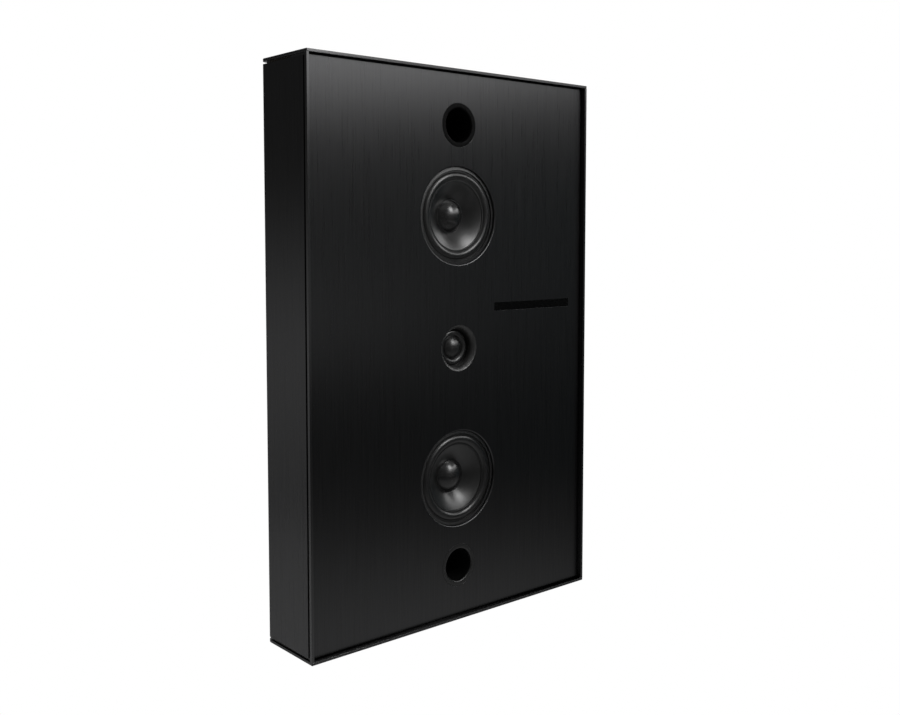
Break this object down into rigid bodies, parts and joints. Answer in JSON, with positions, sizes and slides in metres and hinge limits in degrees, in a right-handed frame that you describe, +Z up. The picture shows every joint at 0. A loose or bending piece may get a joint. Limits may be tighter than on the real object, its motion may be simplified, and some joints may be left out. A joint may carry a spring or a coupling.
{
  "type": "loudspeaker",
  "caption": "Flat wall loudspeaker in a brushed black metal skin: woofers, a tweeter and ports down the middle of a recessed front panel, hung on a wall bracket.",
  "frame": {"origin": "middle of the wall bracket's four fixing holes, on the wall plane", "axes": "+Z up, the front faces -Y, +Y points into the wall, +X to the right seen from the front"},
  "size_m": [0.432, 0.095, 0.66],
  "materials": {
    "black_aluminium": "black anodised, brushed along the height",
    "gloss_strip": "polished black acrylic",
    "black_board": "fibre board, painted matt black",
    "fibre_board": "bare fibre board",
    "black_plastic": "fine moulded texture",
    "basket_metal": "black powder coat on a casting",
    "bracket_metal": "black powder coat on sheet steel",
    "cone_pulp": "coated pulp, satin",
    "dust_cap": "smooth moulded cap",
    "roll_rubber": "smooth butyl rubber",
    "bumper_rubber": "soft matt rubber",
    "spider_cloth": "resin treated cotton",
    "dome_cloth": "coated woven dome",
    "ferrite": "sintered ferrite",
    "zinc_steel": "zinc plated steel",
    "black_screw": "blackened steel screws",
    "copper": "enamelled copper wire",
    "socket_brass": "gilt brass",
    "circuit_board": "green solder mask",
    "capacitor_film": "wrapped film capacitor",
    "felt": "grey felt",
    "lead_sleeve": "plastic insulation"
  },
  "bodies": {
    "cabinet": {"bottom_board": "fibre_board", "bottom_plate": "black_aluminium", "crossover_board": "circuit_board", "crossover_capacitors": "capacitor_film", "crossover_coils": "copper", "crossover_standoffs": "zinc_steel", "damping_pads": "felt", "driver_leads": "lead_sleeve", "front_panel": "black_aluminium", "hanging_rail": "bracket_metal", "left_board": "fibre_board", "left_side_panel": "black_aluminium", "left_upright": "black_aluminium", "lower_brace": "fibre_board", "lower_port": "black_plastic", "lower_woofer_basket": "basket_metal", "lower_woofer_magnet": "ferrite", "lower_woofer_pole_plate": "zinc_steel", "lower_woofer_spider": "spider_cloth", "lower_woofer_surround": "roll_rubber", "lower_woofer_yoke": "zinc_steel", "plate_screws": "zinc_steel", "rear_panel": "black_board", "rear_screws": "black_screw", "right_board": "fibre_board", "right_side_panel": "black_aluminium", "right_upright": "black_aluminium", "strip_insert": "gloss_strip", "sub_baffle": "black_board", "terminal_cup": "black_plastic", "terminal_sockets": "socket_brass", "top_board": "fibre_board", "top_plate": "black_aluminium", "tweeter_dome": "dome_cloth", "tweeter_faceplate": "black_plastic", "tweeter_magnet": "ferrite", "tweeter_pole_plate": "zinc_steel", "tweeter_rear_cup": "black_plastic", "tweeter_screws": "zinc_steel", "tweeter_voice_coil": "copper", "tweeter_yoke": "zinc_steel", "upper_brace": "fibre_board", "upper_port": "black_plastic", "upper_woofer_basket": "basket_metal", "upper_woofer_magnet": "ferrite", "upper_woofer_pole_plate": "zinc_steel", "upper_woofer_spider": "spider_cloth", "upper_woofer_surround": "roll_rubber", "upper_woofer_yoke": "zinc_steel", "wall_bracket": "bracket_metal", "wall_bumpers": "bumper_rubber", "woofer_gaskets": "bumper_rubber", "woofer_screws": "zinc_steel", "woofer_terminals": "socket_brass"},
    "upper_cone": {"upper_woofer_cone": "cone_pulp", "upper_woofer_dust_cap": "dust_cap", "upper_woofer_voice_coil": "copper"},
    "lower_cone": {"lower_woofer_cone": "cone_pulp", "lower_woofer_dust_cap": "dust_cap", "lower_woofer_voice_coil": "copper"}
  },
  "joints": [
    {"name": "upper_cone_travel", "type": "slide", "parent": "cabinet", "child": "upper_cone", "axis": [0, -1, 0], "range_m": [-0.004, 0.004], "stiffness_N_per_m": 1000, "deforming": ["upper_woofer_surround", "upper_woofer_spider"]},
    {"name": "lower_cone_travel", "type": "slide", "parent": "cabinet", "child": "lower_cone", "axis": [0, -1, 0], "range_m": [-0.004, 0.004], "stiffness_N_per_m": 1000, "deforming": ["lower_woofer_surround", "lower_woofer_spider"]}
  ]
}
